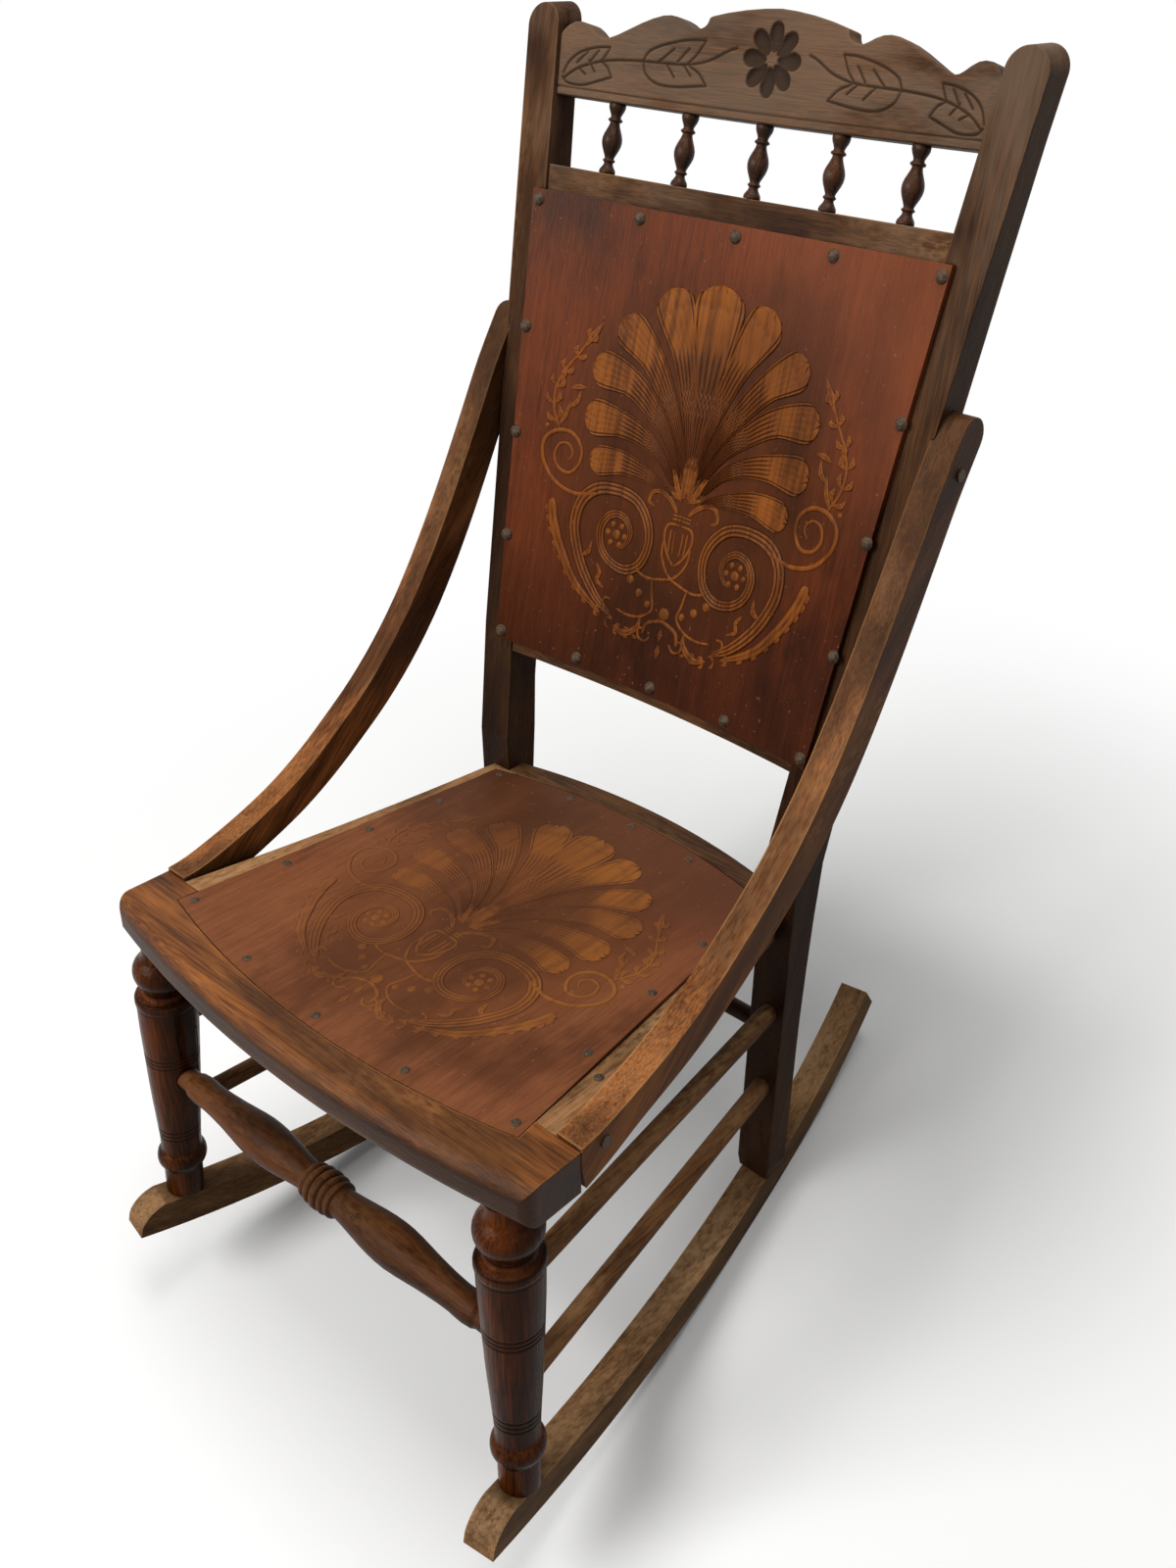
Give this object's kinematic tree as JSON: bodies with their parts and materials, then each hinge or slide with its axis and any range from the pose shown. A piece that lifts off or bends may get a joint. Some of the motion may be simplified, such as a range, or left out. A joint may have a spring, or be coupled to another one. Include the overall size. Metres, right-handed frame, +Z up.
{
  "type": "rocking chair",
  "caption": "Wooden rocking chair on curved runners, with a bowed back panel, a seat panel in a rail frame, turned legs and spindles, and sweeping side arms.",
  "frame": {"origin": "centre of the bounding box, on the floor plane under the runners", "axes": "+X towards the right as the chair is seen from the front, -Y towards the front of the seat, +Z up"},
  "size_m": [0.4624, 0.7362, 0.8887],
  "materials": {
    "dark_wood": "dark stained hardwood, old thin varnish worn dull",
    "turned_wood": "red-brown stained hardwood, old varnish with some gloss",
    "worn_wood": "stained hardwood worn down to the bare wood along the nose",
    "runner_wood": "stained hardwood, dusty and dull",
    "panel_plywood": "red-brown stained plywood with a pressed ochre ornament",
    "nail_iron": "dull browned iron",
    "screw_iron": "dull dark iron"
  },
  "bodies": {
    "root": {"rocker_left": "runner_wood", "rocker_right": "runner_wood", "front_leg_left": "turned_wood", "front_leg_right": "turned_wood", "rear_post_left": "dark_wood", "rear_post_right": "dark_wood", "stretcher_front": "turned_wood", "stretcher_rear": "dark_wood", "stretcher_upper_left": "dark_wood", "stretcher_upper_right": "dark_wood", "stretcher_lower_left": "dark_wood", "stretcher_lower_right": "dark_wood", "seat_front_rail": "worn_wood", "seat_side_rail_left": "dark_wood", "seat_side_rail_right": "dark_wood", "seat_rear_rail": "dark_wood", "seat_panel": "panel_plywood", "seat_panel_nails": "nail_iron", "back_lower_rail": "dark_wood", "back_upper_rail": "dark_wood", "back_panel": "panel_plywood", "back_panel_nails": "nail_iron", "crest_rail": "dark_wood", "spindle_1": "dark_wood", "spindle_2": "dark_wood", "spindle_3": "dark_wood", "spindle_4": "dark_wood", "spindle_5": "dark_wood", "arm_left": "dark_wood", "arm_right": "dark_wood", "arm_top_screws": "screw_iron", "arm_foot_screws": "screw_iron"}
  },
  "joints": []
}
